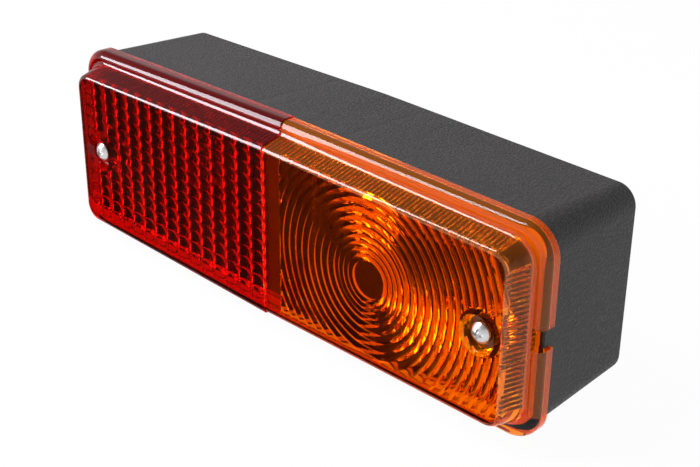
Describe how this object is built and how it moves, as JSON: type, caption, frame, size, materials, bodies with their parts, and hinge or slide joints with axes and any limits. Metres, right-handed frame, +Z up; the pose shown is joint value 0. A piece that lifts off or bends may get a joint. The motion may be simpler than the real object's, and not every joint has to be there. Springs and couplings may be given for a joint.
{
  "type": "tail light cluster",
  "caption": "Long rectangular vehicle tail lamp: red and amber moulded lens on a dark box housing, bayonet bulbs inside, rear studs and a cable inlet.",
  "frame": {"origin": "middle of the mounting face, midway between the studs", "axes": "+X along the lamp to its amber end, +Y into the vehicle, +Z up; the lens faces -Y"},
  "size_m": [0.2566, 0.0885, 0.0876],
  "materials": {
    "housing_plastic": "fine-grained moulded",
    "red_lens": "polished clear moulding",
    "amber_lens": "polished clear moulding",
    "black_rubber": "matt moulded",
    "zinc_steel": "bright zinc plated",
    "spring_steel": "drawn wire",
    "brass": "stamped",
    "nickel_brass": "plated stamping",
    "insulating_board": "pressed laminate",
    "clear_glass": "blown clear",
    "filament_wire": "drawn wire"
  },
  "bodies": {
    "root": {"housing": "housing_plastic", "red_lens": "red_lens", "amber_lens": "amber_lens", "lens_gasket": "black_rubber", "lens_screws": "zinc_steel", "screw_seals": "black_rubber", "screw_inserts": "brass", "socket_rivets": "brass", "earth_strap": "brass", "cable_grommet": "black_rubber", "mounting_studs": "zinc_steel", "stop_socket": "nickel_brass", "stop_insulator": "insulating_board", "stop_spring": "spring_steel", "stop_contact": "brass", "stop_terminals": "brass", "stop_bulb_cap": "nickel_brass", "stop_bulb_glass": "clear_glass", "stop_bulb_filament": "filament_wire", "turn_socket": "nickel_brass", "turn_insulator": "insulating_board", "turn_spring": "spring_steel", "turn_contact": "brass", "turn_terminals": "brass", "turn_bulb_cap": "nickel_brass", "turn_bulb_glass": "clear_glass", "turn_bulb_filament": "filament_wire"}
  },
  "joints": []
}
